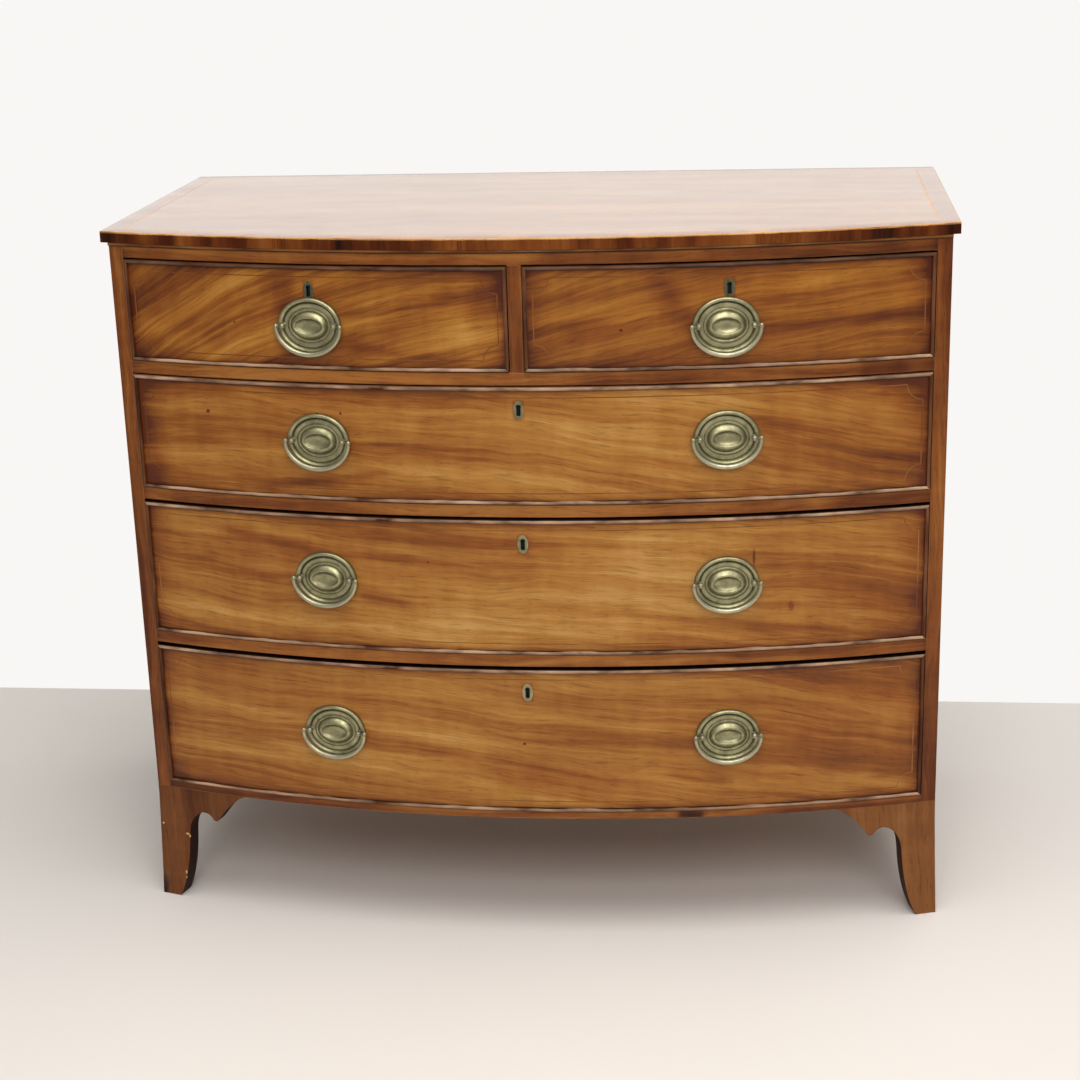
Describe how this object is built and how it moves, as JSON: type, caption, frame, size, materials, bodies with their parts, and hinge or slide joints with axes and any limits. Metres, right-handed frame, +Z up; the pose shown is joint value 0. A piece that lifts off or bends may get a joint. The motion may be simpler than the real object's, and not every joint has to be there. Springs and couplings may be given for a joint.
{
  "type": "bow front chest of drawers",
  "caption": "Free-standing chest of drawers with a bowed front, short drawers over long ones, oval drop handles, keyholes and splayed bracket feet.",
  "frame": {"origin": "on the floor, at the middle of the overall width and depth", "axes": "+X to the viewer's right when facing the front, -Y out of the bowed front, +Z up"},
  "size_m": [1.05, 0.5559, 0.91],
  "materials": {
    "veneer": "figured mahogany veneer, French polished",
    "mahogany": "mahogany, French polished",
    "bead": "mahogany, worn polish",
    "pine": "pine, dry and aged",
    "oak": "oak, dry and aged",
    "brass": "aged brass",
    "lock_brass": "dull brass",
    "iron": "dark iron"
  },
  "bodies": {
    "carcase": {"top_board": "mahogany", "top_moulding": "bead", "side_left": "mahogany", "side_right": "mahogany", "front_stiles": "mahogany", "top_rail": "mahogany", "dividing_rails": "mahogany", "bottom_rail": "mahogany", "centre_divider": "mahogany", "drawer_runners": "pine", "dustboards": "pine", "bottom_board": "pine", "back_boards": "pine", "foot_front_left": "mahogany", "foot_front_right": "mahogany", "foot_back_left": "mahogany", "foot_back_right": "mahogany"},
    "drawer_top_left": {"drawer_front_top_left": "veneer", "cock_bead_top_left": "bead", "drawer_box_top_left": "oak", "drawer_bottom_top_left": "oak", "handle_plates_top_left": "brass", "lock_top_left": "lock_brass"},
    "bolt_top_left": {"bolt_top_left": "iron"},
    "bail_top_left": {"bail_top_left": "brass"},
    "drawer_top_right": {"drawer_front_top_right": "veneer", "cock_bead_top_right": "bead", "drawer_box_top_right": "oak", "drawer_bottom_top_right": "oak", "handle_plates_top_right": "brass", "lock_top_right": "lock_brass"},
    "bolt_top_right": {"bolt_top_right": "iron"},
    "bail_top_right": {"bail_top_right": "brass"},
    "drawer_second": {"drawer_front_second": "veneer", "cock_bead_second": "bead", "drawer_box_second": "oak", "drawer_bottom_second": "oak", "handle_plates_second": "brass", "lock_second": "lock_brass"},
    "bolt_second": {"bolt_second": "iron"},
    "bail_second_left": {"bail_second_left": "brass"},
    "bail_second_right": {"bail_second_right": "brass"},
    "drawer_third": {"drawer_front_third": "veneer", "cock_bead_third": "bead", "drawer_box_third": "oak", "drawer_bottom_third": "oak", "handle_plates_third": "brass", "lock_third": "lock_brass"},
    "bolt_third": {"bolt_third": "iron"},
    "bail_third_left": {"bail_third_left": "brass"},
    "bail_third_right": {"bail_third_right": "brass"},
    "drawer_bottom": {"drawer_front_bottom": "veneer", "cock_bead_bottom": "bead", "drawer_box_bottom": "oak", "drawer_bottom_bottom": "oak", "handle_plates_bottom": "brass", "lock_bottom": "lock_brass"},
    "bolt_bottom": {"bolt_bottom": "iron"},
    "bail_bottom_left": {"bail_bottom_left": "brass"},
    "bail_bottom_right": {"bail_bottom_right": "brass"}
  },
  "joints": [
    {"name": "drawer_top_left_slide", "type": "slide", "parent": "carcase", "child": "drawer_top_left", "axis": [0, -1, 0], "range_m": [0, 0.34]},
    {"name": "bolt_top_left_slide", "type": "slide", "parent": "drawer_top_left", "child": "bolt_top_left", "axis": [0, 0, 1], "range_m": [0, 0.009]},
    {"name": "bail_top_left_hinge", "type": "hinge", "parent": "drawer_top_left", "child": "bail_top_left", "pos_m": [-0.25502, -0.2603, 0.802], "axis": [-0.9887, 0.1497, 0], "range_deg": [0, 175]},
    {"name": "drawer_top_right_slide", "type": "slide", "parent": "carcase", "child": "drawer_top_right", "axis": [0, -1, 0], "range_m": [0, 0.34]},
    {"name": "bolt_top_right_slide", "type": "slide", "parent": "drawer_top_right", "child": "bolt_top_right", "axis": [0, 0, 1], "range_m": [0, 0.009]},
    {"name": "bail_top_right_hinge", "type": "hinge", "parent": "drawer_top_right", "child": "bail_top_right", "pos_m": [0.2503, -0.26101, 0.8], "axis": [-0.9891, -0.1469, 0], "range_deg": [0, 175]},
    {"name": "drawer_second_slide", "type": "slide", "parent": "carcase", "child": "drawer_second", "axis": [0, -1, 0], "range_m": [0, 0.34]},
    {"name": "bolt_second_slide", "type": "slide", "parent": "drawer_second", "child": "bolt_second", "axis": [0, 0, 1], "range_m": [0, 0.009]},
    {"name": "bail_second_left_hinge", "type": "hinge", "parent": "drawer_second", "child": "bail_second_left", "pos_m": [-0.25291, -0.26062, 0.6578], "axis": [-0.9889, 0.1485, 0], "range_deg": [0, 175]},
    {"name": "bail_second_right_hinge", "type": "hinge", "parent": "drawer_second", "child": "bail_second_right", "pos_m": [0.2508, -0.26094, 0.6619], "axis": [-0.9891, -0.1472, 0], "range_deg": [0, 175]},
    {"name": "drawer_third_slide", "type": "slide", "parent": "carcase", "child": "drawer_third", "axis": [0, -1, 0], "range_m": [0, 0.34]},
    {"name": "bolt_third_slide", "type": "slide", "parent": "drawer_third", "child": "bolt_third", "axis": [0, 0, 1], "range_m": [0, 0.009]},
    {"name": "bail_third_left_hinge", "type": "hinge", "parent": "drawer_third", "child": "bail_third_left", "pos_m": [-0.25412, -0.26044, 0.4785], "axis": [-0.9888, 0.1492, 0], "range_deg": [0, 175]},
    {"name": "bail_third_right_hinge", "type": "hinge", "parent": "drawer_third", "child": "bail_third_right", "pos_m": [0.2508, -0.26094, 0.4767], "axis": [-0.9891, -0.1472, 0], "range_deg": [0, 175]},
    {"name": "drawer_bottom_slide", "type": "slide", "parent": "carcase", "child": "drawer_bottom", "axis": [0, -1, 0], "range_m": [0, 0.34]},
    {"name": "bolt_bottom_slide", "type": "slide", "parent": "drawer_bottom", "child": "bolt_bottom", "axis": [0, 0, 1], "range_m": [0, 0.009]},
    {"name": "bail_bottom_left_hinge", "type": "hinge", "parent": "drawer_bottom", "child": "bail_bottom_left", "pos_m": [-0.25442, -0.26039, 0.271], "axis": [-0.9888, 0.1494, 0], "range_deg": [0, 175]},
    {"name": "bail_bottom_right_hinge", "type": "hinge", "parent": "drawer_bottom", "child": "bail_bottom_right", "pos_m": [0.25191, -0.26077, 0.2736], "axis": [-0.989, -0.1479, 0], "range_deg": [0, 175]}
  ]
}
